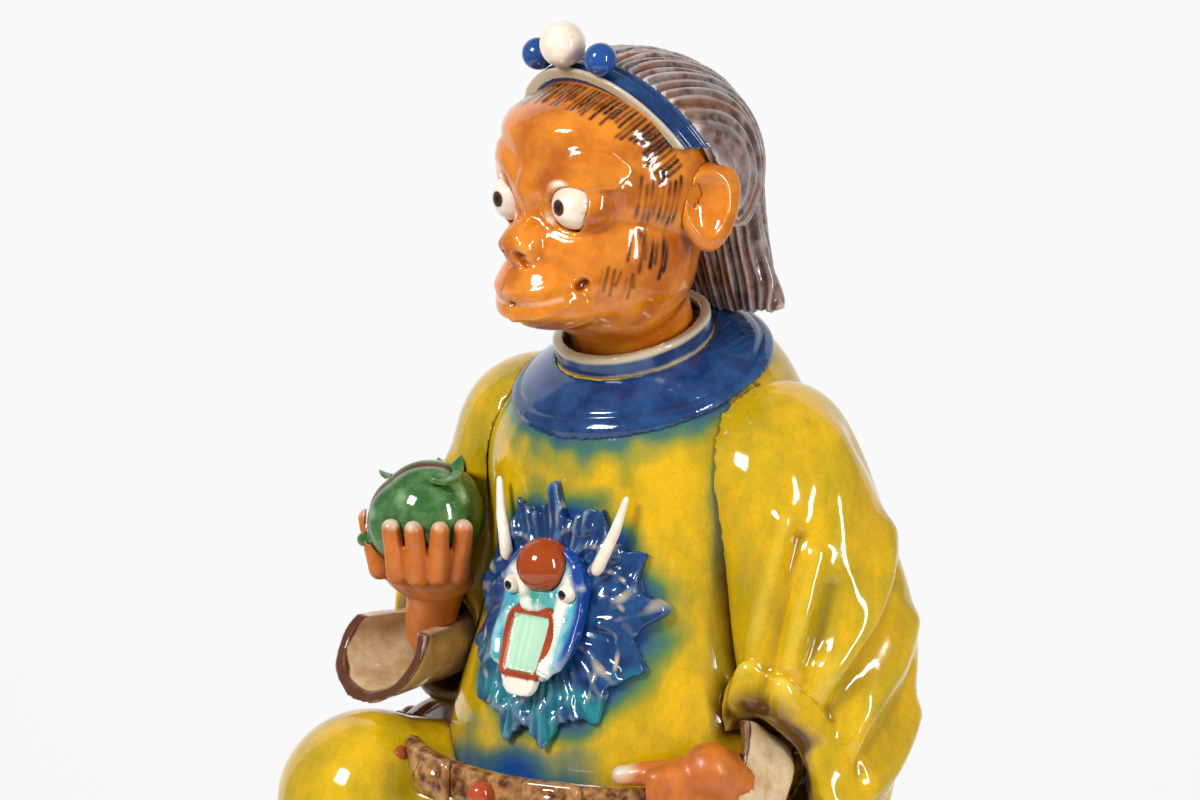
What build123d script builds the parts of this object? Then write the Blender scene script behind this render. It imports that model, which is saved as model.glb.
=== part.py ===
from build123d import *
import math
import os

# A seated, robed monkey figurine in glazed stoneware, as its press-moulded and applied pieces.
# Millimetres. +Z is up, the figure faces -Y and its left side is +X.
# The origin is the middle of the base's underside.

# Fit between pieces
glaze_gap = 0.15  # line of glaze between a piece and what carries it

# Base slab
base_width = 156.0
base_depth = 148.0
base_height = 16.0
base_corner = 34.0
base_edge = 3.0
foot_rim = 9.0
foot_recess = 3.0
vent_radius = 7.0

# Rockwork
rock_height = 79.0
rock_half_width = 56.0
rock_half_depth = 42.0
rock_wall = 10.0
step_height = 27.0
step_radius = 22.0

# Body, measured from its upright axis
body_back = 18.0  # the axis lies this far behind the base's middle
torso_wall = 7.0
hip_half_width = 50.0
hip_half_depth = 44.0
belly_half_width = 47.0
belly_half_depth = 44.0
belly_forward = 6.0
belly_rise = 40.0  # heights are above the seat
waist_half_width = 45.0
waist_half_depth = 41.0
waist_rise = 68.0
chest_half_width = 41.0
chest_half_depth = 36.0
chest_rise = 95.0
shoulder_half_width = 44.0
shoulder_half_depth = 36.0
shoulder_rise = 124.0
neck_root_half = 34.0
neck_root_drop = 10.0  # below the neck's end, along its axis
neck_half = 17.0
neck_rise = 148.0
neck_forward = 6.0
neck_tilt = 20.0  # degrees that the neck leans forward

# Collar and neck band
collar_thickness = 2.6
collar_reach = 33.5
collar_drop = 17.0  # down the back, along the neck's axis
band_height = 5.0
band_sink = 5.0
band_wall = 3.0
band_notch = 5.0

# Head, in its own frame: centre between the ears, face towards -Y
head_rise = 38.0  # above the neck's end
head_forward = 7.0
head_turn = -11.0
skull_half_width = 27.0
skull_half_depth = 32.0
skull_half_height = 26.0
cheek_half_width = 23.5
muzzle_half_width = 15.0
eye_spacing = 23.0
eye_radius = 6.2
ear_height = 22.0
ear_width = 15.0
ear_thickness = 6.5
hair_thickness = 3.6
hairband_width = 7.0
hairband_thickness = 4.2
hairband_lean = 33.0  # degrees forward of upright
bead_radius = 5.6
side_bead_radius = 4.0
neck_plug = 14.0

# Sleeves, cuffs and hands
sleeve_wall = 4.0
mouth_depth = 24.0
cuff_wall = 3.2
scoop_rise = 6.0  # the right cuff lies open above this height over its rim's middle
finger_radius = 2.6
palm_half = 9.5

# Fruit
fruit_radius = 13.8
fruit_length = 34.0
leaf_length = 22.0
leaf_width = 9.0
leaf_thickness = 1.6

# Belt
belt_gap = 9.0  # between the belly and the hoop
belt_thickness = 5.0
belt_height = 9.0
belt_edge = 1.8
belt_rise = 45.0
plaque_width = 15.0
plaque_height = 11.0
plaque_thickness = 3.0
stud_radius = 3.3

# Relief mask on the chest
mask_rise = 84.0
mask_half_width = 29.0
mask_half_height = 31.0
mane_lobes = 13
mane_thickness = 2.6
face_thickness = 4.0
jaw_width = 25.0
jaw_height = 36.0
mouth_width = 11.0
mouth_height = 17.0
mouth_rim = 2.4
pearl_radius = 6.8
mask_eye_radius = 2.4
horn_radius = 2.6

# Legs and boots
right_knee_out = 51.0
right_knee_forward = 49.0
right_knee_rise = 30.0
left_knee_out = 50.0
left_knee_forward = 52.0
left_knee_rise = 4.0
thigh_half = 25.0
knee_half = 23.5
hem_half = 22.0
hem_wall = 5.0
hem_depth = 10.0
boot_length = 50.0
boot_half_width = 11.0
boot_height = 22.0
sole_thickness = 6.0
apron_half_width = 24.0
apron_thickness = 6.0
apron_drop = 62.0
apron_pleats = 5
apron_wave = 1.6

# Places that follow from the sizes
seat_z = base_height + rock_height
belt_z = seat_z + belt_rise
mask_z = seat_z + mask_rise
neck_z = seat_z + neck_rise
lean = math.radians(neck_tilt)
neck_axis = Vector(0, -math.sin(lean), math.cos(lean))
LEFT, RIGHT = 1, -1


def at(x, y, z):
    """A point measured from the body's upright axis."""
    return Vector(x, body_back + y, z)


neck_end = at(0, -neck_forward, neck_z)
head_centre = neck_end + Vector(0, -head_forward, head_rise)


def oval(centre, facing, across, half_u, half_v):
    """An elliptical section square to facing, with half_u along across."""
    normal = Vector(facing).normalized()
    along = Vector(across)
    along = (along - normal * along.dot(normal)).normalized()
    return Plane(origin=centre, x_dir=along, z_dir=normal) * Ellipse(half_u, half_v)


def ball(centre, half_x, half_y, half_z, grow=0.0):
    """An ellipsoid on the frame's axes."""
    return Pos(centre) * scale(Sphere(1), by=(half_x + grow, half_y + grow, half_z + grow))


def orb(radius):
    """A sphere whose seam faces the front, clear of the cuts behind it."""
    return Rot(0, 0, -90) * Sphere(radius)


def rod(start, end, start_radius, end_radius, grow=0.0):
    """A tapered rod with round ends, such as a finger."""
    start, end = Vector(start), Vector(end)
    shank = loft([
        oval(start, end - start, (0.31, 0.87, 0.38), start_radius + grow, start_radius + grow),
        oval(end, end - start, (0.31, 0.87, 0.38), end_radius + grow, end_radius + grow),
    ])
    return shank + Pos(start) * orb(start_radius + grow) + Pos(end) * orb(end_radius + grow)


def largest(shape):
    """The biggest solid of a cut, without slivers."""
    return max(shape.solids(), key=lambda solid: solid.volume)


def seated(piece, *carriers):
    """The piece cut back from each carrier's surface by the glaze gap."""
    for carrier in carriers:
        piece = piece - carrier(glaze_gap)
    return largest(piece)


# Base and rockwork

def base_slab():
    slab = extrude(RectangleRounded(base_width, base_depth, base_corner), base_height)
    slab = fillet(slab.edges().group_by(Axis.Z)[-1], base_edge)
    hollow = RectangleRounded(base_width - 2 * foot_rim, base_depth - 2 * foot_rim, base_corner - foot_rim)
    vent = Pos(0, body_back, 0) * extrude(Circle(vent_radius), base_height)
    return slab - extrude(hollow, foot_recess) - vent


def crag(centre, half_x, half_y, z, phase):
    """One level of rock: an oval whose edge swells and dips as weathered stone does."""
    points = []
    corners = 12
    for i in range(corners):
        turn = 2 * math.pi * i / corners
        swell = 1 + 0.07 * math.sin(3 * turn + phase) + 0.04 * math.sin(5 * turn - 2 * phase)
        points.append((half_x * swell * math.cos(turn), half_y * swell * math.sin(turn)))
    outline = make_face(Spline(*points, periodic=True))
    return Pos(centre.X, centre.Y, z) * outline


def mound(centre, half_x, half_y, bottom, top):
    levels = ((0.0, 1.06, 0.3), (0.35, 0.95, 1.2), (0.7, 0.97, 2.0), (1.0, 0.88, 2.6))
    return loft([
        crag(centre, half_x * share, half_y * share, bottom + (top - bottom) * level, phase)
        for level, share, phase in levels
    ])


def rock_seat_form(grow=0.0):
    return mound(at(0, 0, 0), rock_half_width + grow, rock_half_depth + grow, base_height, seat_z - glaze_gap)


def rock_seat():
    hollow = mound(at(0, 0, 0), rock_half_width - rock_wall, rock_half_depth - rock_wall, base_height, seat_z)
    roof = Pos(0, body_back, seat_z) * Box(2 * rock_half_width, 2 * rock_half_depth, 2 * rock_wall)
    return rock_seat_form() - (hollow - roof)


def right_foot():
    return at(-right_knee_out, -right_knee_forward, base_height + step_height)


def left_foot():
    return at(left_knee_out, -left_knee_forward, base_height)


def rock_step_form(grow=0.0):
    foot = right_foot()
    middle = Vector(foot.X, foot.Y - 0.1 * boot_length, 0)
    return mound(middle, step_radius + grow, 0.62 * boot_length + grow, base_height, foot.Z - glaze_gap)


# Torso

def torso_stations():
    """Each section's forward shift, height above the seat, half width, half depth and share of the neck's tilt."""
    root = Vector(0, neck_forward, neck_rise) - Vector(0, math.sin(lean), math.cos(lean)) * neck_root_drop
    return (
        (2.0, 0.0, hip_half_width, hip_half_depth, 0.0),
        (belly_forward, belly_rise, belly_half_width, belly_half_depth, 0.0),
        (0.6 * belly_forward, waist_rise, waist_half_width, waist_half_depth, 0.1),
        (1.0, chest_rise, chest_half_width, chest_half_depth, 0.2),
        (0.0, shoulder_rise, shoulder_half_width, shoulder_half_depth, 0.75),
        (root.Y, root.Z, neck_root_half, neck_root_half - 1, 1.0),
        (neck_forward, neck_rise, neck_half, neck_half, 1.0),
    )


def torso_form(grow=0.0):
    sections = []
    for forward, rise, half_width, half_depth, share in torso_stations():
        tilt = lean * share
        facing = (0, -math.sin(tilt), math.cos(tilt))
        centre = at(0, -forward, seat_z + rise)
        sections.append(oval(centre, facing, (1, 0, 0), half_width + grow, half_depth + grow))
    return loft(sections)


def torso_half(side):
    """Front (-1) or back (+1) pressing, hollow inside and luted to the other along the side seam."""
    reach = 2 * hip_half_depth
    room = Box(4 * hip_half_width, reach, 4 * neck_rise)
    room = Pos(at(0, side * (reach / 2 + glaze_gap / 2), seat_z)) * room
    return (torso_form() - torso_form(-torso_wall)) & room


def front_of_torso(x, z, proud=0.0):
    """The point on the front of the torso straight ahead of x and z, standing proud of it."""
    hits = torso_form(proud).find_intersection_points(Axis(at(x, -4 * hip_half_depth, z), (0, 1, 0)))
    return min((hit[0] for hit in hits), key=lambda point: point.Y)


# Collar and neck

def along_neck(distance):
    return neck_end + neck_axis * distance


def neck_disc(radius, start, end):
    """A round along the neck's axis, between two distances from its end."""
    place = Plane(origin=along_neck(start), x_dir=(1, 0, 0), z_dir=neck_axis)
    return extrude(place * Circle(radius), end - start)


def collar_form(grow=0.0):
    return torso_form(collar_thickness + grow) & neck_disc(collar_reach + grow, -collar_drop - grow, collar_reach)


def shoulder_collar():
    opening = neck_disc(neck_half + band_wall + 2 * glaze_gap, -collar_reach, collar_reach)
    return largest(collar_form() - torso_form(glaze_gap) - opening)


def band_form(grow=0.0):
    return neck_disc(neck_half + band_wall + grow, -band_sink - grow, band_height + grow)


def neck_band():
    bore = neck_disc(neck_half + 2 * glaze_gap, -2 * band_sink, 2 * band_height)
    notch_top = along_neck(band_height) + Vector(0, -neck_half - band_wall, 0)
    notch = Pos(notch_top) * Rot(0, 45, 0) * Box(band_notch, 4 * band_wall, band_notch)
    return seated(band_form() - bore - notch, torso_form)


# Head

def in_head(part):
    """A part modelled in the head's own frame, put in its place."""
    return Pos(head_centre) * Rot(0, 0, head_turn) * part


def skull(grow=0.0):
    return ball((0, 3, 5), skull_half_width, skull_half_depth, skull_half_height, grow)


def cheeks(grow=0.0):
    return ball((0, -5, -14), cheek_half_width, 24, 24.5, grow)


def neck_stub(grow=0.0):
    """The neck, which plugs into the torso's hollow end."""
    shank = neck_disc(neck_half - torso_wall - glaze_gap + grow, -neck_plug, 0)
    return shank + neck_disc(neck_half - 1.5 + grow, glaze_gap, head_rise)


def eye_centre(side):
    return (side * eye_spacing / 2, -20.5, -1.0)


def head_form(grow=0.0):
    form = skull(grow)
    form += cheeks(grow)
    form += ball((0, -20, -23), muzzle_half_width, 14, 13, grow)
    form += ball((0, -29, -11), 6, 6, 6, grow)
    for side in (LEFT, RIGHT):
        form += ball((side * eye_spacing / 2, -22, 7.5), eye_spacing / 2 + 1, 7, 6, grow)
        form += ball(eye_centre(side), eye_radius + 2.2, eye_radius + 0.6, eye_radius + 1.2, grow)
    return in_head(form) + neck_stub(grow)


def eye_form(side, grow=0.0):
    return in_head(Pos(eye_centre(side)) * Pos(0, -2.2, 0) * Sphere(eye_radius + grow))


def head():
    face = head_form()
    for side in (LEFT, RIGHT):
        face -= eye_form(side, glaze_gap)
        face -= in_head(Pos(side * 2.6, -33.5, -13.5) * Rot(60, 0, side * 20) * Cylinder(1.3, 9))
    lips = Pos(0, -20, -25.5) * scale(Cylinder(1, 1.2), by=(muzzle_half_width + 1, 15.5, 1))
    palate = Pos(0, -20, -25.5) * scale(Cylinder(1, 4), by=(muzzle_half_width - 2.5, 11.5, 1))
    return largest(face - in_head(lips - palate))


def eye(side):
    return eye_form(side)


def ear_shell(side, grow=0.0):
    place = Pos(side * (skull_half_width + 0.8), 5, -2) * Rot(0, 0, -side * 28)
    return place * Rot(0, 0, -90) * ball((0, 0, 0), ear_width / 2, ear_thickness / 2, ear_height / 2, grow)


def ear(side):
    place = Pos(side * (skull_half_width + 0.8), 5, -2) * Rot(0, 0, -side * 28)
    bowl = ball((side * ear_thickness / 2, -1, 0.5), ear_thickness / 2, 0.34 * ear_width, 0.36 * ear_height)
    lobe = ear_shell(side) - place * bowl
    return in_head(largest(lobe - skull(glaze_gap) - cheeks(glaze_gap)))


def ear_room(grow=0.0):
    """The space that both ears take, for what passes behind them."""
    return in_head(ear_shell(LEFT, grow)) + in_head(ear_shell(RIGHT, grow))


# Hair and headband

def hairband_plane(shift):
    """The plane that the headband arches in, moved along its normal towards the nape."""
    arch = math.radians(hairband_lean)
    normal = Vector(0, math.cos(arch), math.sin(arch))
    return Plane(origin=Vector(0, 4, 5) + normal * shift, x_dir=(1, 0, 0), z_dir=normal)


def hairband_form(grow=0.0):
    room = 3 * skull_half_depth
    slab = hairband_plane(-hairband_width / 2 - grow) * extrude(Rectangle(room, room), hairband_width + 2 * grow)
    above = Pos(0, 0, 5 + room / 2 + ear_height / 3) * Box(room, room, room)
    return in_head(skull(hairband_thickness + grow) & slab & above)


def hairband():
    return seated(hairband_form(), head_form, ear_room)


def hair():
    room = 3 * skull_half_depth
    behind = hairband_plane(hairband_width / 2 + glaze_gap) * extrude(Rectangle(room, room), room)
    above = Pos(0, 0, -8 + room / 2) * Box(room, room, room)
    cap = skull(hair_thickness) & behind & above
    fall = loft([
        oval((0, 24, 8), (0, 0.1, -1), (1, 0, 0), 23, 11.5),
        oval((0, 29, -12), (0, 0.15, -1), (1, 0, 0), 21, 8),
        oval((0, 33, -30), (0, 0.25, -1), (1, 0, 0), 24, 6),
    ])
    return seated(in_head(cap + fall), head_form, torso_form, collar_form, band_form, ear_room)


def on_hairband(angle, proud):
    """A point over the headband, at an angle from its top towards the figure's left."""
    turn, arch = math.radians(angle), math.radians(hairband_lean)
    way = Vector(math.sin(turn), -math.cos(turn) * math.sin(arch), math.cos(turn) * math.cos(arch))
    halves = (skull_half_width, skull_half_depth, skull_half_height)
    reach = 1 / math.sqrt(sum((w / h) ** 2 for w, h in zip(way, halves)))
    return Vector(0, 3, 5) + way * (reach + hairband_thickness + proud)


def headband_beads():
    """A pale bead on the headband's top between two smaller ones, as one group."""
    beads = [in_head(Pos(on_hairband(0, bead_radius + glaze_gap)) * Sphere(bead_radius))]
    spread = math.degrees((bead_radius + side_bead_radius + 1) / (skull_half_height + bead_radius))
    for side in (LEFT, RIGHT):
        place = on_hairband(side * spread, side_bead_radius + glaze_gap)
        beads.append(in_head(Pos(place) * Sphere(side_bead_radius)))
    return Compound(children=beads)


# Belt

def hoop(outer, height, grow=0.0):
    half_x = belly_half_width + belt_gap + outer + grow
    half_y = belly_half_depth + belt_gap + outer + grow
    return extrude(Ellipse(half_x, half_y), height)


def belt_form(grow=0.0):
    tall = belt_height + 2 * grow
    ring = hoop(belt_thickness, tall, grow) - hoop(0, tall, -grow)
    if grow == 0:
        ring = fillet(ring.edges(), belt_edge)
    return Pos(at(0, -belly_forward, belt_z - tall / 2)) * ring


def belt_point(angle, outward=0.0, up=0.0):
    """A point on the hoop's outer face, at an angle from the front towards the figure's left."""
    turn = math.radians(angle)
    half_x = belly_half_width + belt_gap + belt_thickness + outward
    half_y = belly_half_depth + belt_gap + belt_thickness + outward
    return at(half_x * math.sin(turn), -belly_forward - half_y * math.cos(turn), belt_z + up)


def belt_frame(angle, outward=0.0):
    """A plane on the hoop's outer face, X along the belt and Z outwards."""
    ahead = belt_point(angle + 1) - belt_point(angle - 1)
    return Plane(origin=belt_point(angle, outward), x_dir=ahead, z_dir=ahead.cross(Vector(0, 0, 1)))


PLAQUE_ANGLES = (-54, -18, 18)
STUD_ANGLES = (-72, -36, 0)


def belt_plaques():
    """Rectangular plaques with a domed stone, luted to the front of the hoop."""
    plaques = []
    for angle in PLAQUE_ANGLES:
        tablet = extrude(RectangleRounded(plaque_width, plaque_height, 2), plaque_thickness)
        tablet = fillet(tablet.edges().group_by(Axis.Z)[-1], 1)
        stone = Pos(0, 0, plaque_thickness) * scale(Sphere(1), by=(plaque_width / 3, plaque_height / 3, 2))
        plaque = belt_frame(angle, -1) * (tablet + stone)
        plaques.append(seated(plaque, belt_form, right_leg_form))
    return Compound(children=plaques)


def belt_studs():
    studs = []
    for angle in STUD_ANGLES:
        stud = Pos(belt_point(angle, 0.4 * stud_radius)) * orb(stud_radius)
        studs.append(seated(stud, belt_form, right_leg_form))
    return Compound(children=studs)


def belt_arc(side):
    """The hoop's front (-1) or back (+1) stretch, which the sleeves part."""
    arc = belt_form() - torso_form(glaze_gap)
    for carrier in (left_sleeve_form, right_sleeve_form, right_leg_form, left_leg_form, left_cuff_room):
        arc = arc - carrier(glaze_gap)
    arcs = sorted(arc.solids(), key=lambda solid: solid.volume)[-2:]
    return max(arcs, key=lambda solid: side * solid.center().Y)


# Sleeves, cuffs and hands

def sleeve_loft(stations, grow):
    return loft([
        oval(at(*centre), facing, across, half_u + grow, half_v + grow)
        for centre, facing, across, half_u, half_v in stations
    ])


def shoulder_stations(side):
    """The top of a sleeve, from inside the torso over the shoulder."""
    top = seat_z + shoulder_rise
    out = shoulder_half_width
    return [
        ((side * 0.45 * out, 2, top + 4), (side * 0.8, 0, -0.6), (0.6, 0, side * 0.8), 14, 18),
        ((side * 0.86 * out, 2, top - 4), (side * 0.55, 0, -0.84), (0.84, 0, side * 0.55), 19, 23),
    ]


def left_sleeve_stations():
    out = belly_half_width
    return shoulder_stations(LEFT) + [
        ((out + 1, 3, belt_z + 53), (0.1, 0, -1), (1, 0, 0.1), 19.5, 25),
        ((out + 5, 5, belt_z + 27), (0, 0, -1), (1, 0, 0), 19.5, 28),
        ((out + 6, -3.5, belt_z + 5), (0, -0.7, -0.7), (1, 0, 0), 18.5, 28),
        ((out + 4, -25, belt_z - 6), (-0.3, -0.95, -0.1), (1, -0.3, 0), 17, 30),
    ]


def right_sleeve_stations():
    out = right_knee_out
    return shoulder_stations(RIGHT) + [
        ((-out + 5, -1, belt_z + 51), (-0.1, -0.1, -1), (1, 0, -0.1), 16, 20),
        ((-out + 2, -8, belt_z + 32), (0, -0.55, -0.83), (1, 0, 0), 16.5, 19),
        ((-out + 1, -23, belt_z + 22), (0, -1, -0.1), (1, 0, 0), 16.5, 18.5),
    ]


def left_sleeve_form(grow=0.0):
    return sleeve_loft(left_sleeve_stations(), grow)


def right_sleeve_form(grow=0.0):
    return sleeve_loft(right_sleeve_stations(), grow)


def sleeve_mouth(stations, grow=0.0):
    """The hollow inside a sleeve's open end, grown smaller by a negative amount."""
    centre, facing, across, half_u, half_v = stations[-1]
    out = Vector(facing).normalized()
    lip = at(*centre)
    return loft([
        oval(lip - out * (mouth_depth + grow), out, across, half_u - 2 * sleeve_wall + grow, 0.5 * half_v + grow),
        oval(lip + out, out, across, half_u - sleeve_wall + grow, half_v - sleeve_wall + grow),
    ])


def left_sleeve():
    return seated(left_sleeve_form() - sleeve_mouth(left_sleeve_stations()), torso_form, collar_form)


def right_sleeve():
    return seated(right_sleeve_form() - sleeve_mouth(right_sleeve_stations()), torso_form, collar_form)


def mouth_point(stations, right, ahead, up):
    """A point measured from the middle of a sleeve's mouth."""
    return at(*stations[-1][0]) + Vector(right, -ahead, up)


def left_wrist():
    stations = left_sleeve_stations()
    return mouth_point(stations, -7, 4, 12), mouth_point(stations, 1, -8, 6)


def right_wrist():
    stations = right_sleeve_stations()
    return mouth_point(stations, -3, 20, 1), mouth_point(stations, 0, -10, 1)


def cuff(wrist, flare, facing):
    """An inner sleeve: a tapered tube from inside the mouth out to its open rim."""
    rim, root = wrist
    tube = loft([
        oval(root, rim - root, (1, 0, 0), palm_half - 1, palm_half + 1),
        oval(rim, facing, (1, 0, 0), flare[0], flare[1]),
    ])
    bore = loft([
        oval(root, rim - root, (1, 0, 0), palm_half - 1 - cuff_wall, palm_half + 1 - cuff_wall),
        oval(rim, facing, (1, 0, 0), flare[0] - cuff_wall, flare[1] - cuff_wall),
    ])
    return tube - bore


def sleeve_shell(stations, form):
    """A sleeve's wall as a carrier for the cuff inside it."""
    def shell(grow=0.0):
        return form(grow) - sleeve_mouth(stations, -grow)
    return shell


def left_cuff_room(grow=0.0):
    """The whole space inside the left cuff's outside, where the belt stops."""
    rim, root = left_wrist()
    return loft([
        oval(root, rim - root, (1, 0, 0), palm_half - 1 + grow, palm_half + 1 + grow),
        oval(rim, rim - root, (1, 0, 0), palm_half + 3.5 + grow, palm_half + 6.5 + grow),
    ])


def left_cuff():
    rim, root = left_wrist()
    tube = cuff((rim, root), (palm_half + 3.5, palm_half + 6.5), rim - root)
    shell = sleeve_shell(left_sleeve_stations(), left_sleeve_form)
    return largest(seated(tube, torso_form, left_leg_form) - shell(4 * glaze_gap))


def right_cuff():
    rim, root = right_wrist()
    tube = cuff((rim, root), (palm_half + 8, palm_half + 5), Vector(-0.2, -0.85, 0.45))
    room = 10 * palm_half
    lower = Pos(rim + Vector(0, 0, scoop_rise - room / 2)) * Box(room, room, room)
    shell = sleeve_shell(right_sleeve_stations(), right_sleeve_form)
    return seated(tube & lower, shell, torso_form, right_leg_form)


def left_hand_form(grow=0.0):
    """A hand closed over the belt, thumb along its top edge."""
    thick = finger_radius
    rim, root = left_wrist()
    palm = belt_point(54, 1, belt_height / 2 + thick + 2)
    form = rod(root, palm, palm_half - cuff_wall - 2, palm_half - 2.5, grow)
    tip = belt_point(34, -belt_thickness / 2, belt_height / 2 + thick + 0.4)
    form += rod(palm, tip, thick + 1.6, thick, grow)
    for i in range(4):
        angle = 42 + 5.2 * i
        knuckle = belt_point(angle, thick, belt_height / 2 + thick + 1)
        form += rod(palm, knuckle, thick + 1.2, thick + 0.3, grow)
        form += rod(knuckle, belt_point(angle, thick + 1, -belt_height), thick + 0.3, thick - 0.3, grow)
    return form


def left_hand():
    shell = sleeve_shell(left_sleeve_stations(), left_sleeve_form)
    return seated(left_hand_form(), belt_form, left_leg_form, left_cuff_shell, shell, torso_form)


def left_cuff_shell(grow=0.0):
    return left_cuff()


def fruit_centre():
    return mouth_point(right_sleeve_stations(), 7, 11.5, fruit_radius + palm_half + 12.5)


FRUIT_AXIS = Vector(-0.72, -0.5, -0.35).normalized()


def fruit_form(grow=0.0):
    """A round fruit drawn out to a blunt point."""
    centre = fruit_centre()
    shoulder = centre + FRUIT_AXIS * (0.3 * fruit_radius)
    tip = centre + FRUIT_AXIS * (fruit_length - fruit_radius - 2)
    return Pos(centre) * Sphere(fruit_radius + grow) + rod(shoulder, tip, 0.9 * fruit_radius, 2, grow)


def leaf(width, length, bend):
    """A pointed leaf lying along Y, arched over its length."""
    half = width / 2
    outline = make_face([
        ThreePointArc((0, 0), (half, 0.45 * length), (0, length)),
        ThreePointArc((0, length), (-half, 0.45 * length), (0, 0)),
    ])
    arch = length / bend
    sheet = Rot(0, 90, 0) * Pos(0, 0, -width) * extrude(
        make_face([
            ThreePointArc((0, -1), (arch, length / 2), (0, length + 1)),
            Line((0, length + 1), (-leaf_thickness, length + 1)),
            ThreePointArc((-leaf_thickness, length + 1), (arch - leaf_thickness, length / 2), (-leaf_thickness, -1)),
            Line((-leaf_thickness, -1), (0, -1)),
        ]), 2 * width)
    return sheet & Pos(0, 0, -length) * extrude(outline, 2 * length)


def fruit_leaves():
    """Leaves laid over the top of the fruit, as one group."""
    back = fruit_centre() - FRUIT_AXIS * 0.62 * fruit_radius
    leaves = []
    for turn, share in ((118, 1.0), (62, 0.8), (190, 0.7)):
        blade = leaf(leaf_width * share, leaf_length * share, 4)
        place = Pos(back + Vector(0, 0, 0.86 * fruit_radius)) * Rot(0, 0, turn) * Rot(-12, 0, 0)
        leaves.append(seated(place * blade, fruit_form, torso_form))
    return Compound(children=leaves)


def right_hand_form(grow=0.0):
    """A cupped hand under the fruit: four fingers up its near side, the thumb up its far side."""
    thick = finger_radius
    wrist = mouth_point(right_sleeve_stations(), 2, 7, 4)
    under = fruit_centre() - Vector(0, 0, fruit_radius)
    form = rod(wrist, under + Vector(0, 2, -4), palm_half - 3.5, palm_half - 2, grow)
    form += ball(under + Vector(0, -1, -2), palm_half + 3.5, palm_half - 1, 6, grow)
    for i in range(4):
        turn = math.radians(-16 - 24 * i)
        way = Vector(math.cos(turn), math.sin(turn), 0)
        knuckle = under + way * (fruit_radius - 1) + Vector(0, 0, 1)
        tip = fruit_centre() + way * (fruit_radius + thick - 1) - Vector(0, 0, 1)
        form += rod(under + way * 4, knuckle, thick + 1.4, thick + 0.4, grow)
        form += rod(knuckle, tip, thick + 0.4, thick - 0.2, grow)
    heel = under + Vector(-0.8, -0.6, 0) * (fruit_radius - 1)
    form += rod(under, heel, thick + 2, thick + 0.6, grow)
    form += rod(heel, heel + Vector(-2.5, -2, fruit_radius - 1), thick + 0.6, thick - 0.2, grow)
    return form


def right_hand():
    shell = sleeve_shell(right_sleeve_stations(), right_sleeve_form)
    return largest(seated(right_hand_form(), fruit_form, right_cuff_shell) - shell(4 * glaze_gap))


def right_cuff_shell(grow=0.0):
    return right_cuff()


# Legs and boots

def leg_form(side, knee, foot, grow):
    """A robe-covered leg: thigh, knee and hanging shin."""
    hip = at(side * 22, 2, seat_z + thigh_half - 8)
    ankle = Vector(foot.X, foot.Y, foot.Z + boot_height)
    thigh = loft([
        oval(hip, knee - hip, (0, 0, 1), thigh_half - 1 + grow, thigh_half + grow),
        oval(knee, knee - hip, (0, 0, 1), knee_half - 1 + grow, knee_half + grow),
    ])
    shin = loft([
        oval(knee, (0, 0, -1), (1, 0, 0), knee_half - 1 + grow, knee_half - 1 + grow),
        oval((knee + ankle) * 0.5, (0, 0, -1), (1, 0, 0), knee_half - 2.5 + grow, knee_half - 1.5 + grow),
        oval(ankle, (0, 0, -1), (1, 0, 0), hem_half + grow, hem_half + 1 + grow),
    ])
    return thigh + shin + Pos(knee) * Sphere(knee_half + grow)


def right_knee():
    return at(-right_knee_out, -right_knee_forward, seat_z + right_knee_rise)


def left_knee():
    return at(left_knee_out, -left_knee_forward, seat_z + left_knee_rise)


def right_leg_form(grow=0.0):
    return leg_form(RIGHT, right_knee(), right_foot(), grow)


def left_leg_form(grow=0.0):
    return leg_form(LEFT, left_knee(), left_foot(), grow)


def hem_hollow(foot):
    """The open bottom of a trouser leg, which the boot's shaft stands in."""
    ankle = Vector(foot.X, foot.Y, foot.Z + boot_height)
    return Pos(ankle) * extrude(Ellipse(hem_half - hem_wall, hem_half - hem_wall), hem_depth)


def robe_leg(form, foot, sleeve_form):
    leg = form() - hem_hollow(foot)
    return seated(leg, torso_form, rock_seat_form, rock_step_form, sleeve_form)


def boot(foot):
    """A soft boot with a raised toe and a shaft that goes up inside the hem."""
    low = foot.Z + sole_thickness + glaze_gap
    shaft_radius = hem_half - hem_wall - 4
    ankle = Vector(foot.X, foot.Y, foot.Z + boot_height + hem_depth - 1)
    shaft = extrude(Pos(foot.X, foot.Y, low) * Ellipse(shaft_radius, shaft_radius), ankle.Z - low)
    toe = loft([
        oval(Vector(foot.X, foot.Y, low), (0, -1, 0), (1, 0, 0), boot_half_width, boot_height - sole_thickness),
        oval(Vector(foot.X, foot.Y - 0.3 * boot_length, low), (0, -1, 0), (1, 0, 0), boot_half_width - 1, 11),
        oval(Vector(foot.X, foot.Y - 0.56 * boot_length, low), (0, -1, 0), (1, 0, 0), boot_half_width - 4, 7),
    ])
    form = shaft + toe
    return largest(form & Pos(foot.X, foot.Y, low + base_width) * Box(base_width, base_width, 2 * base_width))


def boot_sole(foot):
    """A thick felt sole, outlined by two rounds and their tangents."""
    heel = shaft_foot = hem_half - hem_wall - 4
    toe_y = -0.56 * boot_length
    outline = make_hull(
        (Circle(heel) + Pos(0, toe_y) * Circle(boot_half_width - 3)).edges()
    )
    sole = extrude(Pos(foot.X, foot.Y, foot.Z) * outline, sole_thickness)
    return fillet(sole.edges().group_by(Axis.Z)[-1], 1.2)


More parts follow.
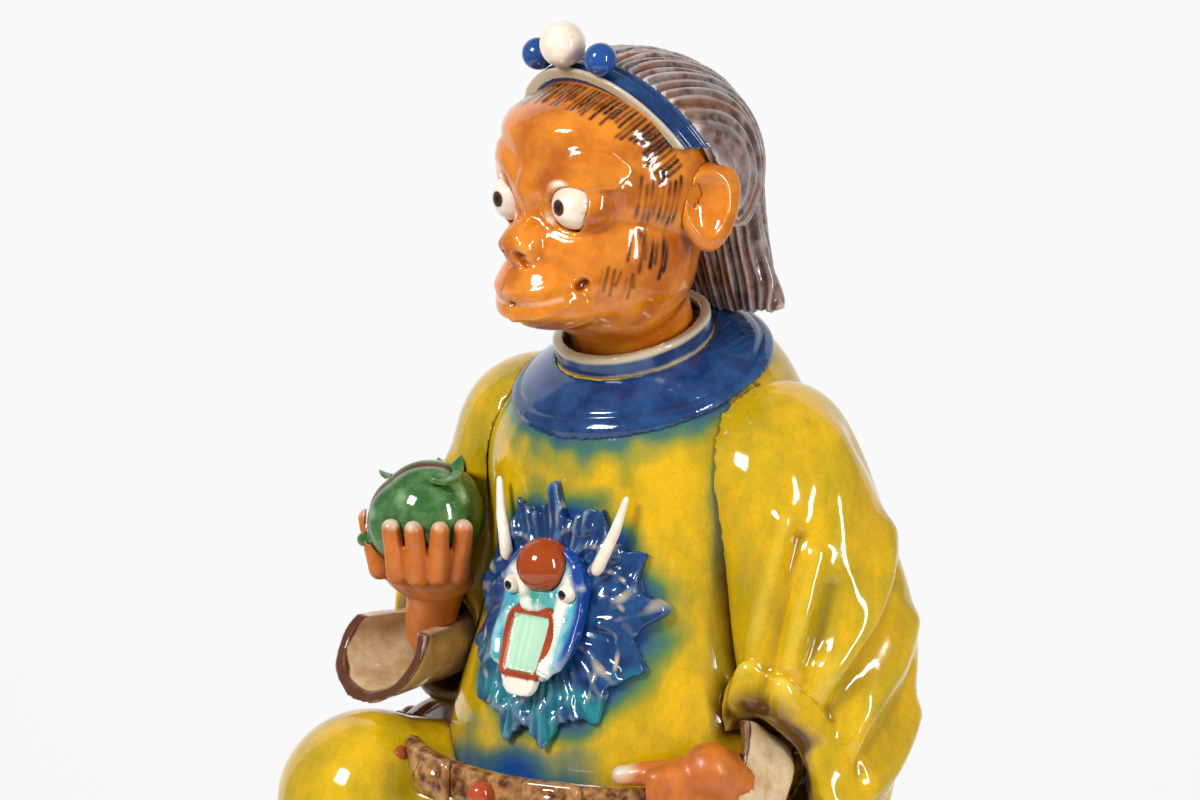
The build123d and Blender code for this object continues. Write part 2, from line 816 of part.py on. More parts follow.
def apron():
    """The robe's front panel, hanging in shallow pleats between the knees."""
    top = seat_z + thigh_half - 10
    forward = belly_half_depth + belly_forward - 2

    def wave(half_width, y, z):
        points = []
        steps = 4 * apron_pleats
        for i in range(steps + 1):
            share = i / steps
            lift = apron_wave * math.cos(2 * math.pi * apron_pleats * share)
            points.append(at(half_width * (2 * share - 1), -y - lift, z))
        front = Spline(*points)
        back = [point + Vector(0, apron_thickness + apron_wave, 0) for point in (points[-1], points[0])]
        edges = [front, Line(points[-1], back[0]), Line(back[0], back[1]), Line(back[1], points[0])]
        return make_face(edges)

    panel = loft([
        wave(0.8 * apron_half_width, forward, top),
        wave(0.9 * apron_half_width, forward + 4, top - 0.5 * apron_drop),
        wave(apron_half_width, forward + 2, top - apron_drop),
    ])
    return seated(panel, torso_form, right_leg_form, left_leg_form, rock_seat_form, rock_step_form)


# Relief mask on the chest

def relief(outline, thickness, sunk):
    """An outline in the front view, pressed onto the chest between two depths."""
    prism = extrude(Plane(origin=at(0, 0, mask_z), x_dir=(1, 0, 0), z_dir=(0, -1, 0)) * outline, 3 * hip_half_depth)
    return largest((torso_form(thickness) & prism) - torso_form(sunk))


def mane_outline():
    """A round of flame-shaped locks."""
    points = []
    for i in range(2 * mane_lobes):
        turn = math.pi * i / mane_lobes
        share = 1.0 if i % 2 == 0 else 0.82
        points.append((share * mask_half_width * math.sin(turn), share * mask_half_height * math.cos(turn)))
    return make_face(Spline(*points, periodic=True))


def jaw_outline(inset=0.0):
    return RectangleRounded(jaw_width - 2 * inset, jaw_height - 2 * inset, jaw_width / 2.4 - inset)


def mouth_outline(grow):
    return Pos(0, -7.5) * RectangleRounded(mouth_width + 2 * grow, mouth_height + 2 * grow, 2 + grow)


def mask_mane():
    return relief(mane_outline(), mane_thickness, glaze_gap)


def mask_face():
    face = relief(jaw_outline(), mane_thickness + face_thickness, mane_thickness + glaze_gap)
    low, high = mane_thickness + face_thickness - 2, mane_thickness + 2 * face_thickness
    mouth = relief(mouth_outline(mouth_rim + glaze_gap), high, low)
    face = face - mouth - Pos(pearl_centre()) * Sphere(pearl_radius + glaze_gap)
    for side in (LEFT, RIGHT):
        face = face - Pos(mask_eye_centre(side)) * Sphere(mask_eye_radius + glaze_gap)
    return largest(face)


def mask_mouth():
    low, high = mane_thickness + face_thickness - 2, mane_thickness + face_thickness + 1
    rim = relief(mouth_outline(mouth_rim), high, low + glaze_gap)
    return largest(rim - relief(mouth_outline(0), 2 * high, high - 1.2))


def pearl_centre():
    return front_of_torso(0, mask_z + 0.42 * mask_half_height, mane_thickness + face_thickness - 1)


def mask_pearl():
    return seated(Pos(pearl_centre()) * orb(pearl_radius), mane_form)


def mane_form(grow=0.0):
    return torso_form(mane_thickness + grow)


def mask_eye_centre(side):
    return front_of_torso(side * 8.5, mask_z + 0.24 * mask_half_height, mane_thickness + face_thickness)


def mask_eyes():
    return Compound(children=[
        seated(Pos(mask_eye_centre(side)) * orb(mask_eye_radius), mane_form) for side in (LEFT, RIGHT)
    ])


def mask_horns():
    """Two horns that sweep up and out over the mane."""
    horns = []
    radii = (horn_radius, 0.85 * horn_radius, 0.5 * horn_radius)
    for side in (LEFT, RIGHT):
        route = []
        for across, up, radius in zip((0.5, 0.62, 0.68), (0.46, 0.72, 0.98), radii):
            clear = mane_thickness + radius + 3 * glaze_gap
            route.append(front_of_torso(side * across * mask_half_width, mask_z + up * mask_half_height, clear))
        horn = rod(route[0], route[1], radii[0], radii[1])
        horns.append(horn + rod(route[1], route[2], radii[1], radii[2]))
    return Compound(children=horns)


def pieces():
    """Every node's name and solid."""
    yield "base_slab", base_slab()
    yield "rock_seat", rock_seat()
    yield "rock_step", seated(rock_step_form(), rock_seat_form)
    yield "robe_front", torso_half(-1)
    yield "robe_back", torso_half(1)
    yield "robe_right_leg", robe_leg(right_leg_form, right_foot(), right_sleeve_form)
    yield "robe_left_leg", robe_leg(left_leg_form, left_foot(), left_sleeve_form)
    yield "robe_apron", apron()
    for side, foot in (("right", right_foot()), ("left", left_foot())):
        yield f"{side}_boot", boot(foot)
        yield f"{side}_boot_sole", boot_sole(foot)
    yield "left_sleeve", left_sleeve()
    yield "right_sleeve", right_sleeve()
    yield "left_cuff", left_cuff()
    yield "right_cuff", right_cuff()
    yield "left_hand", left_hand()
    yield "right_hand", right_hand()
    yield "fruit", seated(fruit_form(), torso_form, right_sleeve_form)
    yield "fruit_leaves", fruit_leaves()
    yield "shoulder_collar", shoulder_collar()
    yield "neck_band", neck_band()
    yield "head", head()
    for name, side in (("left", LEFT), ("right", RIGHT)):
        yield f"{name}_eye", eye(side)
        yield f"{name}_ear", ear(side)
    yield "hair", hair()
    yield "headband", hairband()
    yield "headband_beads", headband_beads()
    yield "belt_front", belt_arc(-1)
    yield "belt_back", belt_arc(1)
    yield "belt_plaques", belt_plaques()
    yield "belt_studs", belt_studs()
    yield "mask_mane", mask_mane()
    yield "mask_face", mask_face()
    yield "mask_mouth", mask_mouth()
    yield "mask_pearl", mask_pearl()
    yield "mask_eyes", mask_eyes()
    yield "mask_horns", mask_horns()


os.makedirs("parts", exist_ok=True)
for name, shape in pieces():
    export_step(shape, f"parts/{name}.step")
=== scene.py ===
import math

import bpy
import numpy as np
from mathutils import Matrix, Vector


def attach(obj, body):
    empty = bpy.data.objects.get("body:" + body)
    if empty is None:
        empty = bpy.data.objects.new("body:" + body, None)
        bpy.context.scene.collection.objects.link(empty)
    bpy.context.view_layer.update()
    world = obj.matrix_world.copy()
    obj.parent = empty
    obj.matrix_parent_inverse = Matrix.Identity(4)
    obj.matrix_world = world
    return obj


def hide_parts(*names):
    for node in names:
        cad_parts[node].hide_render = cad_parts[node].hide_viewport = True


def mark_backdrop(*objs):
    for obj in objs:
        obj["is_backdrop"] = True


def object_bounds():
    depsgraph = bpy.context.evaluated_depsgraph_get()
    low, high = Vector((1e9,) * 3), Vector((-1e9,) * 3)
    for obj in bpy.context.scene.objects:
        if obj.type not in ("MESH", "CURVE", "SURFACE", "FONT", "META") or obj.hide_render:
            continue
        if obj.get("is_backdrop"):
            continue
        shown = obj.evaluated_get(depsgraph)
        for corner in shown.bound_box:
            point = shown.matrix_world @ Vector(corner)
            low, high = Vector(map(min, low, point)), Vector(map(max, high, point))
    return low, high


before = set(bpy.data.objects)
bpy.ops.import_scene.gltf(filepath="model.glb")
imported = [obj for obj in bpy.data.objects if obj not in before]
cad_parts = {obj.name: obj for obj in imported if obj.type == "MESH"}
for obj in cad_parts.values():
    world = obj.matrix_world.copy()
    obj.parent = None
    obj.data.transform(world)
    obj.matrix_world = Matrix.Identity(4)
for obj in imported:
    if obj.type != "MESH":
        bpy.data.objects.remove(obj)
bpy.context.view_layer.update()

# Places are in millimetres in the part's frame: +Z up, the figure faces -Y, its left side is +X.
AXIS = np.array((0.0, 18.0, 0.0))  # the body's upright axis
NECK = np.array((0.0, 12.0, 243.0))
NECK_WAY = np.array((0.0, -0.342, 0.940))  # along the neck, upwards
# Upright axes that the robe's folds are drawn round.
LEFT_ARM = np.array((49.0, 20.0, 0.0))
RIGHT_ARM = np.array((-47.0, 17.0, 0.0))
RIGHT_SHIN = np.array((-50.0, -30.0, 0.0))
LEFT_SHIN = np.array((48.0, -33.0, 0.0))
FRUIT = np.array((-43.0, -16.5, 198.0))  # its middle
MASK_Z = 179.0  # the mask's middle, on the body's middle plane
MASK_HALF_WIDTH = 29.0
MASK_HALF_HEIGHT = 31.0

# The head's own frame is turned about the head's middle.
HEAD = np.array((0.0, 5.0, 281.0))
HEAD_TURN = math.radians(-11)
SKULL = np.array((0.0, 3.0, 5.0))
SKULL_HALF = np.array((27.0, 32.0, 26.0))
EYE_X, EYE_Y, EYE_Z = 11.5, -22.7, -1.0  # the left eye's middle
BAND_LEAN = math.radians(33)
BAND_WAY = np.array((0.0, math.cos(BAND_LEAN), math.sin(BAND_LEAN)))  # across the headband, back and up


# Meshes

def clay(node, voxel, rounds=6):
    """A copy of a CAD node as soft clay: remeshed to even small faces and smoothed."""
    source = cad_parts[node]
    obj = source.copy()
    obj.data = source.data.copy()
    obj.name = node + "_clay"
    bpy.context.collection.objects.link(obj)
    obj.data.materials.clear()
    bpy.ops.object.select_all(action="DESELECT")
    obj.select_set(True)
    bpy.context.view_layer.objects.active = obj
    bpy.ops.object.mode_set(mode="EDIT")
    bpy.ops.mesh.select_all(action="SELECT")
    bpy.ops.mesh.remove_doubles(threshold=0.00002)
    bpy.ops.mesh.normals_make_consistent(inside=False)
    bpy.ops.object.mode_set(mode="OBJECT")
    bpy.ops.object.modifier_add(type="REMESH")
    obj.modifiers[-1].mode = "VOXEL"
    obj.modifiers[-1].voxel_size = voxel * 0.001
    bpy.ops.object.modifier_apply(modifier=obj.modifiers[-1].name)
    if rounds:
        bpy.ops.object.modifier_add(type="SMOOTH")
        obj.modifiers[-1].factor = 0.5
        obj.modifiers[-1].iterations = rounds
        bpy.ops.object.modifier_apply(modifier=obj.modifiers[-1].name)
    bpy.ops.object.shade_smooth()
    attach(obj, "root")
    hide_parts(node)
    return obj


def verts(obj):
    """The vertices' places."""
    flat = np.empty(3 * len(obj.data.vertices), np.float32)
    obj.data.vertices.foreach_get("co", flat)
    return flat.reshape(-1, 3).astype(float) * 1000


def put(obj, places):
    """Moves the vertices to new places."""
    obj.data.vertices.foreach_set("co", (places * 0.001).astype(np.float32).ravel())
    obj.data.update()


def outward(obj):
    """The vertices' normals."""
    flat = np.empty(3 * len(obj.data.vertices), np.float32)
    obj.data.vertex_normals.foreach_get("vector", flat)
    return flat.reshape(-1, 3).astype(float)


def smooth_path(points):
    """A drawn line's corners, cut twice."""
    points = [np.asarray(point, float) for point in points]
    for _ in range(2):
        cut = [points[0]]
        for a, b in zip(points, points[1:]):
            cut += [0.75 * a + 0.25 * b, 0.25 * a + 0.75 * b]
        points = cut + [points[-1]]
    return points


def distance(places, path):
    """How far each place is from a drawn line."""
    best = np.full(len(places), 1e9)
    for a, b in zip(path, path[1:]):
        run = b - a
        share = np.clip((places - a) @ run / max(run @ run, 1e-9), 0, 1)
        best = np.minimum(best, np.linalg.norm(places - a - share[:, None] * run, axis=1))
    return best


def near(obj, path, radius):
    """Which vertices lie close to a drawn line, and how strongly a stroke of that radius takes them."""
    path = smooth_path(path) if len(path) > 2 else [np.asarray(point, float) for point in path]
    places = verts(obj)
    low, high = np.min(path, axis=0) - 3 * radius, np.max(path, axis=0) + 3 * radius
    inside = np.flatnonzero(np.all((places > low) & (places < high), axis=1))
    pull = np.exp(-(distance(places[inside], path) / radius) ** 2)
    return inside, pull


def stroke(obj, path, radius, height):
    """Raises a ridge along a drawn line, or presses a groove where height is negative."""
    inside, pull = near(obj, path, radius)
    places = verts(obj)
    places[inside] += outward(obj)[inside] * (height * pull)[:, None]
    put(obj, places)


def values(obj, name):
    """A wash's amounts on the vertices, 0 where it is new."""
    layer = obj.data.attributes.get(name)
    if layer is None:
        layer = obj.data.attributes.new(name, "FLOAT", "POINT")
    got = np.empty(len(obj.data.vertices), np.float32)
    layer.data.foreach_get("value", got)
    return got.astype(float)


def brush(obj, name, amount):
    """Lays a wash of glaze on the vertices, keeping the stronger of old and new."""
    kept = np.maximum(values(obj, name), np.clip(amount, 0, 1))
    obj.data.attributes[name].data.foreach_set("value", kept.astype(np.float32))


def line(obj, name, path, radius, strength=1.0):
    """Paints a drawn line."""
    inside, pull = near(obj, path, radius)
    amount = np.zeros(len(obj.data.vertices))
    amount[inside] = strength * pull
    brush(obj, name, amount)


def relaxed(obj, rounds):
    """The vertices' places after some rounds of smoothing."""
    edges = np.empty(2 * len(obj.data.edges), np.int32)
    obj.data.edges.foreach_get("vertices", edges)
    a, b = edges.reshape(-1, 2).T
    soft = verts(obj)
    count = np.bincount(a, minlength=len(soft)) + np.bincount(b, minlength=len(soft))
    for _ in range(rounds):
        total = np.empty_like(soft)
        for i in range(3):
            total[:, i] = np.bincount(a, soft[b, i], len(soft)) + np.bincount(b, soft[a, i], len(soft))
        soft = 0.5 * soft + 0.5 * total / np.maximum(count, 1)[:, None]
    return soft


def pool(obj, rounds=10, reach=0.5):
    """Where glaze pools in hollows (over one half) and thins on ridges (under one half)."""
    depth = np.sum((relaxed(obj, rounds) - verts(obj)) * outward(obj), axis=1)
    brush(obj, "pool", 0.5 + 0.5 * depth / reach)


def snap(obj, point):
    """The point of the mesh that is closest to a point."""
    _, place, _, _ = obj.closest_point_on_mesh(Vector(point) * 0.001)
    return np.array(place) * 1000


def cast(obj, start, toward):
    """The first point of the mesh on a straight way from start, or the closest one if the way misses it."""
    way = np.asarray(toward, float) - start
    hit, place, _, _ = obj.ray_cast(Vector(start) * 0.001, Vector(way))
    return np.array(place) * 1000 if hit else snap(obj, start)


def around(obj, angle, z, centre=AXIS):
    """A point on a piece at an angle round an upright axis, 0 in front and + to the figure's left."""
    turn = math.radians(angle)
    middle = np.array((centre[0], centre[1], z))
    return cast(obj, middle + 150 * np.array((math.sin(turn), -math.cos(turn), 0)), middle)


def in_head(point):
    """A point of the head's own frame, or many, in the part's frame."""
    x, y, z = np.asarray(point, float).T
    c, s = math.cos(HEAD_TURN), math.sin(HEAD_TURN)
    return HEAD + np.stack((c * x - s * y, s * x + c * y, z), axis=-1)


def to_head(places):
    """Places of the part's frame in the head's own frame."""
    c, s = math.cos(HEAD_TURN), math.sin(HEAD_TURN)
    rel = places - HEAD
    return np.stack((c * rel[:, 0] + s * rel[:, 1], -s * rel[:, 0] + c * rel[:, 1], rel[:, 2]), axis=1)


def face(obj, angle, rise):
    """A point on the head at an angle to its left and a rise above its middle."""
    turn, up = math.radians(angle), math.radians(rise)
    far = 90 * np.array((math.sin(turn) * math.cos(up), -math.cos(turn) * math.cos(up), math.sin(up)))
    return cast(obj, in_head(far), in_head((0, 0, 0)))


def ripple(places, size, seed):
    """A soft irregular field between -1 and 1, its waves about size apart."""
    rng = np.random.default_rng(seed)
    total = np.zeros(len(places))
    for _ in range(6):
        way = rng.normal(size=3)
        way *= rng.uniform(0.7, 1.4) * 2 * math.pi / size / np.linalg.norm(way)
        total += np.sin(places @ way + rng.uniform(0, 6.3))
    return total / 6


def uneven(obj, size, height, seed):
    """The slight lumpiness of hand-pressed clay."""
    put(obj, verts(obj) + outward(obj) * (height * ripple(verts(obj), size, seed))[:, None])


# Materials

def linear(code):
    """An sRGB hex colour as the renderer's linear colour."""
    parts = [int(code[i:i + 2], 16) / 255 for i in (1, 3, 5)]
    return [c / 12.92 if c <= 0.04045 else ((c + 0.055) / 1.055) ** 2.4 for c in parts] + [1.0]


def add(tree, kind, settings=None, **inputs):
    """Adds a shader node. Inputs are values or other nodes' outputs, by name or, as i0, by number."""
    node = tree.nodes.new(kind)
    for key, value in (settings or {}).items():
        setattr(node, key, value)
    for key, value in inputs.items():
        numbered = key[0] == "i" and key[1:].isdigit()
        socket = node.inputs[int(key[1:]) if numbered else key.replace("_", " ")]
        if isinstance(value, bpy.types.NodeSocket):
            tree.links.new(value, socket)
        else:
            socket.default_value = value
    return node


GRAIN = 1.6  # millimetres between the small dents of a glaze
CRACKS = 2.6  # millimetres across a crackle's cells, coarser than real ones so that they show


def glaze(name, base, mottle, pooled, worn, washes=(), size=9.0, crackle=0.0,
          rough=0.1, coat=0.25, grain=0.02, run=1.0):
    """A fired glaze: mottled, darker where it pools, worn pale on ridges, with washes of other glazes.

    The mottling is about size millimetres wide and drawn out downwards by run. The IOR stays at 1.5,
    which is a glaze's own.
    """
    mat = bpy.data.materials.new(name)
    mat.use_nodes = True
    tree = mat.node_tree
    shader = tree.nodes["Principled BSDF"]
    where = add(tree, "ShaderNodeTexCoord").outputs["Object"]
    drawn = add(tree, "ShaderNodeMapping", None, Vector=where, Scale=(1.0, 1.0, 1 / run)).outputs[0]
    cloud = add(tree, "ShaderNodeTexNoise", None, Vector=drawn, Scale=1000 / size,
                Detail=5.0, Roughness=0.62).outputs[0]
    fine = add(tree, "ShaderNodeTexNoise", None, Vector=where, Scale=1000 / GRAIN, Detail=3.0).outputs[0]

    # Each coat of colour: what drives it, where it starts and is full, how strong it gets, and its colour.
    coats = [(cloud, 0.4, 0.62, 1.0, mottle)]
    for layer, code in washes:
        amount = add(tree, "ShaderNodeAttribute", {"attribute_name": layer}).outputs["Fac"]
        ragged = add(tree, "ShaderNodeMath", {"operation": "MULTIPLY_ADD"}, i0=cloud, i1=0.5, i2=-0.25)
        edge = add(tree, "ShaderNodeMath", {"operation": "ADD"}, i0=amount, i1=ragged.outputs[0])
        gate = add(tree, "ShaderNodeMapRange", None, Value=amount, From_Min=0.0, From_Max=0.15)
        coats.append((edge.outputs[0], 0.15, 0.8, gate.outputs[0], code))
    depth = add(tree, "ShaderNodeAttribute", {"attribute_name": "pool"}).outputs["Fac"]
    coats += [(depth, 0.55, 1.0, 1.0, pooled), (depth, 0.42, 0.0, 1.0, worn)]
    if crackle:
        cells = add(tree, "ShaderNodeTexVoronoi", {"feature": "DISTANCE_TO_EDGE"},
                    Vector=where, Scale=1000 / CRACKS)
        coats.append((cells.outputs[0], 0.035, 0.0, crackle, pooled))

    colour = linear(base)
    for driver, start, full, strength, code in coats:
        amount = add(tree, "ShaderNodeMapRange", None, Value=driver, From_Min=start, From_Max=full,
                     To_Max=strength)
        colour = add(tree, "ShaderNodeMix", {"data_type": "RGBA"}, i0=amount.outputs[0],
                     i6=colour, i7=linear(code)).outputs[2]
    tree.links.new(colour, shader.inputs["Base Color"])
    bump = add(tree, "ShaderNodeBump", None, Height=fine, Strength=grain, Distance=0.001)
    tree.links.new(bump.outputs[0], shader.inputs["Normal"])
    shader.inputs["Roughness"].default_value = rough
    shader.inputs["Coat Weight"].default_value = coat
    shader.inputs["Coat Roughness"].default_value = 0.03
    return mat


# Olive-yellow lead glaze over buff clay: wet-looking, streaked downwards and finely crackled, with cobalt
# run into it where the applied pieces are blue, and dark brown painted in as shade beside and inside the
# sleeves.
ROBE = glaze("olive_yellow_glaze", "#d8aa08", "#ae930e", "#6a4a04", "#e0c040",
             (("green", "#4f7a3a"), ("blue", "#123f7c"), ("brown", "#4a2a06")), 13, 0.22, run=2.0)
# Cobalt-blue glaze: deep and glossy, thin and pale along the edges. Its cream wash is the pale of the neck
# band and headband, and also a painted highlight on the collar's rim and the mane's locks and curls.
COBALT = glaze("cobalt_glaze", "#0c2d5c", "#1a4678", "#051430", "#6a86a4",
               (("pale", "#cdbb9a"), ("green", "#1f7f86")), 7, 0.1)
# Amber glaze over red clay: glossy orange, darker in the wrinkles, with painted comb strokes; their dark
# also paints shade into the nostrils and the corners of the mouth.
AMBER = glaze("amber_glaze", "#d98222", "#c26a12", "#763206", "#e8a048",
              (("rust", "#9a3c0a"), ("pale", "#dcae84"), ("white", "#efe2d2"), ("comb", "#2e0f05")), 8)
# Brown glaze streaked with grey over combed clay: dark in the furrows, pale on the ridges. The grey
# mottling is partly the glaze's own streaks and partly a painted sheen.
HAIR = glaze("streaked_hair_glaze_and_sheen", "#5a3e34", "#9a908e", "#1c0d08", "#c8bab4", (("rust", "#8a4a1a"),), 5)
# White slip under clear glaze: warm white, with painted pupils and blue beads.
SLIP = glaze("white_slip", "#efe2d2", "#e4cfb8", "#b09070", "#f4eadd",
             (("iris", "#4a200c"), ("pupil", "#120806"), ("blue", "#1a4a8c")), 5)
# Cream glaze: smooth and lightly crackled, with iron-brown edges.
CREAM = glaze("cream_glaze", "#dcc098", "#c4a070", "#84603a", "#eeddc2", (("brown", "#5a2c14"),), 6, 0.12)
# Bare red clay: satin and grainy, pale at the finger tips.
CLAY = glaze("bare_red_clay", "#c66c20", "#b05c1a", "#5a280a", "#d88c46",
             (("pale", "#cfc0a8"),), 6, rough=0.42, coat=0.15, grain=0.08)
# Copper-green glaze: leaf green, mottled, with a brown seam along the fruit.
GREEN = glaze("copper_green_glaze", "#2c5e2c", "#557c46", "#0c2a10", "#93b07a",
              (("pale", "#a9c79a"), ("brown", "#5a3218")), 5, 0.1)
# Iron-brown glaze of the belt: mottled with cream where it ran thin.
BROWN = glaze("mottled_brown_glaze", "#54280e", "#b5824c", "#200d04", "#c9a070", (), 4)
# Iron-red glaze of the studs and the mask's mouth: glossy brick red, with pale green and white washes.
RED = glaze("iron_red_glaze", "#a8431a", "#8f3210", "#4a1606", "#d0703a",
            (("pale", "#b5dcbc"), ("chin", "#efe6d6")), 4)
# Turquoise glaze of the mask's face: bright, with white on its ridges and blue in its hollows.
TURQUOISE = glaze("turquoise_glaze", "#3f9fb0", "#7cbac0", "#12407c", "#e4e8dc",
                  (("pale", "#efe6d6"), ("green", "#1f8a4a"), ("blue", "#14408c")), 4)
# Black glaze of the boots: mirror-like, brownish where it is thin.
BLACK = glaze("black_glaze", "#14110f", "#231a14", "#050404", "#3a2a20", (), 8)
# Brown glaze of the rockwork: mottled, with green run over it.
ROCK = glaze("rockwork_glaze", "#6a4620", "#8a6a34", "#2a1a0a", "#a88a54", (("green", "#46703a"),), 14, 0.1)


# Base and rockwork

base = clay("base_slab", 1.2, 3)
rock = clay("rock_seat", 1.4, 3)
step = clay("rock_step", 1.1, 3)
for stone, seed in ((rock, 3), (step, 4)):
    uneven(stone, 26, 1.6, seed)
    uneven(stone, 9, 0.6, seed + 20)
    brush(stone, "green", 0.5 + ripple(verts(stone), 30, seed))
for piece in (base, rock, step):
    pool(piece, 12, 0.9)
    piece.data.materials.append(ROCK)


# Robe

front = clay("robe_front", 1.0, 4)
back = clay("robe_back", 1.1, 4)
right_leg = clay("robe_right_leg", 1.0, 8)
left_leg = clay("robe_left_leg", 1.0, 8)
left_sleeve = clay("left_sleeve", 0.9, 8)
right_sleeve = clay("right_sleeve", 0.9, 8)
robe = (front, back, right_leg, left_leg, left_sleeve, right_sleeve)


def folds(piece, centre, drawn):
    """Drapery drawn round a piece: lists of (angle, height) with a radius and a rise."""
    for path, radius, height in drawn:
        stroke(piece, [around(piece, angle, z, centre) for angle, z in path], radius, height)


folds(left_sleeve, LEFT_ARM, (
    (((70, 226), (62, 205), (70, 184)), 6, 1.3),
    (((40, 222), (36, 200), (40, 178)), 5, -1.3),
    (((-4, 162), (4, 182), (16, 206)), 3.2, 1.8),
    (((8, 163), (17, 182), (27, 202)), 2.8, -2.0),
    (((20, 166), (30, 183), (38, 198)), 3.2, 1.9),
    (((32, 168), (42, 181), (50, 190)), 2.8, -1.6),
    (((118, 200), (80, 184), (40, 166), (5, 156)), 4.5, 2.4),
    (((112, 190), (76, 174), (38, 157), (8, 150)), 3.6, -2.2),
    (((120, 178), (84, 164), (46, 151), (14, 147)), 4, 2.4),
    (((124, 166), (88, 153), (52, 145), (20, 143)), 3.4, -2.2),
    (((126, 154), (92, 143), (58, 137), (28, 139)), 4, 2.2),
    (((128, 140), (96, 130), (62, 124), (34, 126)), 3.6, -1.8),
    (((130, 128), (98, 118), (66, 112), (36, 114)), 4, 1.6),
    (((100, 222), (98, 195), (108, 168)), 6, 1.0),
    (((150, 220), (150, 185), (140, 150)), 5, -1.2),
))
folds(right_sleeve, RIGHT_ARM, (
    (((-20, 206), (-40, 190), (-70, 178)), 4, 1.6),
    (((-15, 196), (-38, 181), (-70, 170)), 3.2, -1.5),
    (((-10, 188), (-36, 173), (-70, 163)), 4, 1.5),
    (((-120, 206), (-110, 185), (-100, 165)), 5, -1.3),
    (((-60, 220), (-66, 205), (-80, 190)), 5, 1.0),
))
folds(right_leg, RIGHT_SHIN, (
    (((35, 122), (10, 116), (-25, 118)), 4, 1.3),
    (((38, 112), (12, 102), (-25, 106)), 3.4, -1.4),
    (((-10, 116), (-8, 96), (-6, 72)), 4, 1.3),
    (((22, 110), (24, 92), (26, 70)), 3.4, -1.4),
    (((-45, 112), (-44, 92), (-42, 70)), 3.4, -1.3),
    (((52, 112), (56, 92), (58, 70)), 4, 1.2),
))
folds(left_leg, LEFT_SHIN, (
    (((-40, 100), (-10, 92), (30, 95)), 4, 1.3),
    (((-38, 90), (-10, 80), (30, 84)), 3.4, -1.4),
    (((-20, 82), (-18, 62), (-16, 44)), 4, 1.3),
    (((8, 84), (10, 64), (12, 44)), 3.4, -1.4),
    (((36, 88), (36, 66), (36, 44)), 4, 1.2),
    (((64, 90), (62, 66), (60, 44)), 3.4, -1.3),
))
# The thighs' ends are rounded off at the hips.
for leg in (right_leg, left_leg):
    places = verts(leg)
    end = np.clip((places[:, 1] - places[:, 1].max() + 16) / 12, 0, 1)
    put(leg, places + end[:, None] * (relaxed(leg, 140) - places))
# The left sleeve's outer edge is drawn back by up to 14 mm, so that the cuff shows.
places = verts(left_sleeve)
forward = np.clip((12 - places[:, 1]) / 26, 0, 1)
outer = np.clip((places[:, 0] - 42) / 22, 0, 1)
below = np.clip((172 - places[:, 2]) / 20, 0, 1)
drawn = forward * outer * below
places[:, 1] += 14 * drawn
put(left_sleeve, places)
put(left_sleeve, places + drawn[:, None] * (relaxed(left_sleeve, 14) - places))
for number, piece in enumerate(robe):
    uneven(piece, 34, 0.5, 40 + number)


def from_neck(places):
    """Each place's distance along the neck's axis and out from it."""
    rel = places - NECK
    along = rel @ NECK_WAY
    return along, np.linalg.norm(rel - along[:, None] * NECK_WAY, axis=1)


def from_mask(places):
    """Each place's distance from the mask's middle in the front view, 1 at the mane's tips."""
    return np.hypot(places[:, 0] / MASK_HALF_WIDTH, (places[:, 2] - MASK_Z) / MASK_HALF_HEIGHT)


# Cobalt runs into the yellow under the collar, round the mask and low on the belly.
places = verts(front)
along, out = from_neck(places)
ahead = places[:, 1] < 8
ring = from_mask(places) + 0.12 * ripple(places, 13, 61)
under = np.where((along > -26) & (out > 30), 1 - (out - 33) / 6 + 0.3 * ripple(places, 9, 62), 0)
brush(front, "green", ahead * np.maximum((1.14 - ring) / 0.26, under))
brush(front, "blue", ahead * np.maximum((1.0 - ring) / 0.22, 0.9 * under - 0.35))
middle = 1.3 - np.abs(places[:, 0] + 6) / 30
above_belt = np.clip((places[:, 2] - 124) / 8, 0, 1)
low = (154 - places[:, 2] + 6 * ripple(places, 12, 63)) / 14 * middle * above_belt
brush(front, "green", ahead * low * 1.3)
brush(front, "blue", ahead * (low - 0.1))


def beside(obj, other, reach):
    """How close each vertex lies to another piece, 1 where they touch."""
    gaps = [np.linalg.norm(snap(other, place) - place) for place in verts(obj)]
    return 1 - np.array(gaps) / reach


# Painted shade: dark brown on the robe's front where it lies beside the sleeves, stronger lower down.
for sleeve in (left_sleeve, right_sleeve):
    brush(front, "brown", 0.95 * beside(front, sleeve, 4.5) * np.clip((222 - places[:, 2]) / 40, 0.25, 1))


def shade_inside_sleeve_mouth(piece, mouth, facing, across, half_u, half_v):
    """Painted shade: dark brown on the inner walls of a sleeve's open end."""
    facing = np.array(facing) / np.linalg.norm(facing)
    across = np.array(across) / np.linalg.norm(across)
    rel = verts(piece) - (np.array(mouth) + AXIS)
    u = rel @ across
    t = rel @ facing
    v = rel @ np.cross(facing, across)
    radial = rel - t[:, None] * facing
    facing_out = np.sum(outward(piece) * radial, axis=1) / np.maximum(np.linalg.norm(radial, axis=1), 1e-6)
    inner = np.clip((0.5 - facing_out) / 0.4, 0, 1)
    inner *= (t > -20) | (facing_out < -0.3)
    inside = np.clip((1.25 - np.hypot(u / half_u, v / half_v)) * 3.5, 0, 1)
    brush(piece, "brown", inside * (t > -40) * (t < 4) * inner)


shade_inside_sleeve_mouth(left_sleeve, (51, -25, 134), (-0.3, -0.95, -0.1), (0.95, -0.3, 0), 15, 28)
shade_inside_sleeve_mouth(right_sleeve, (-50, -23, 162), (0, -1, -0.1), (1, 0, 0), 14.5, 16.5)
for piece in robe:
    pool(piece, 16, 1.1)
    piece.data.materials.append(ROBE)

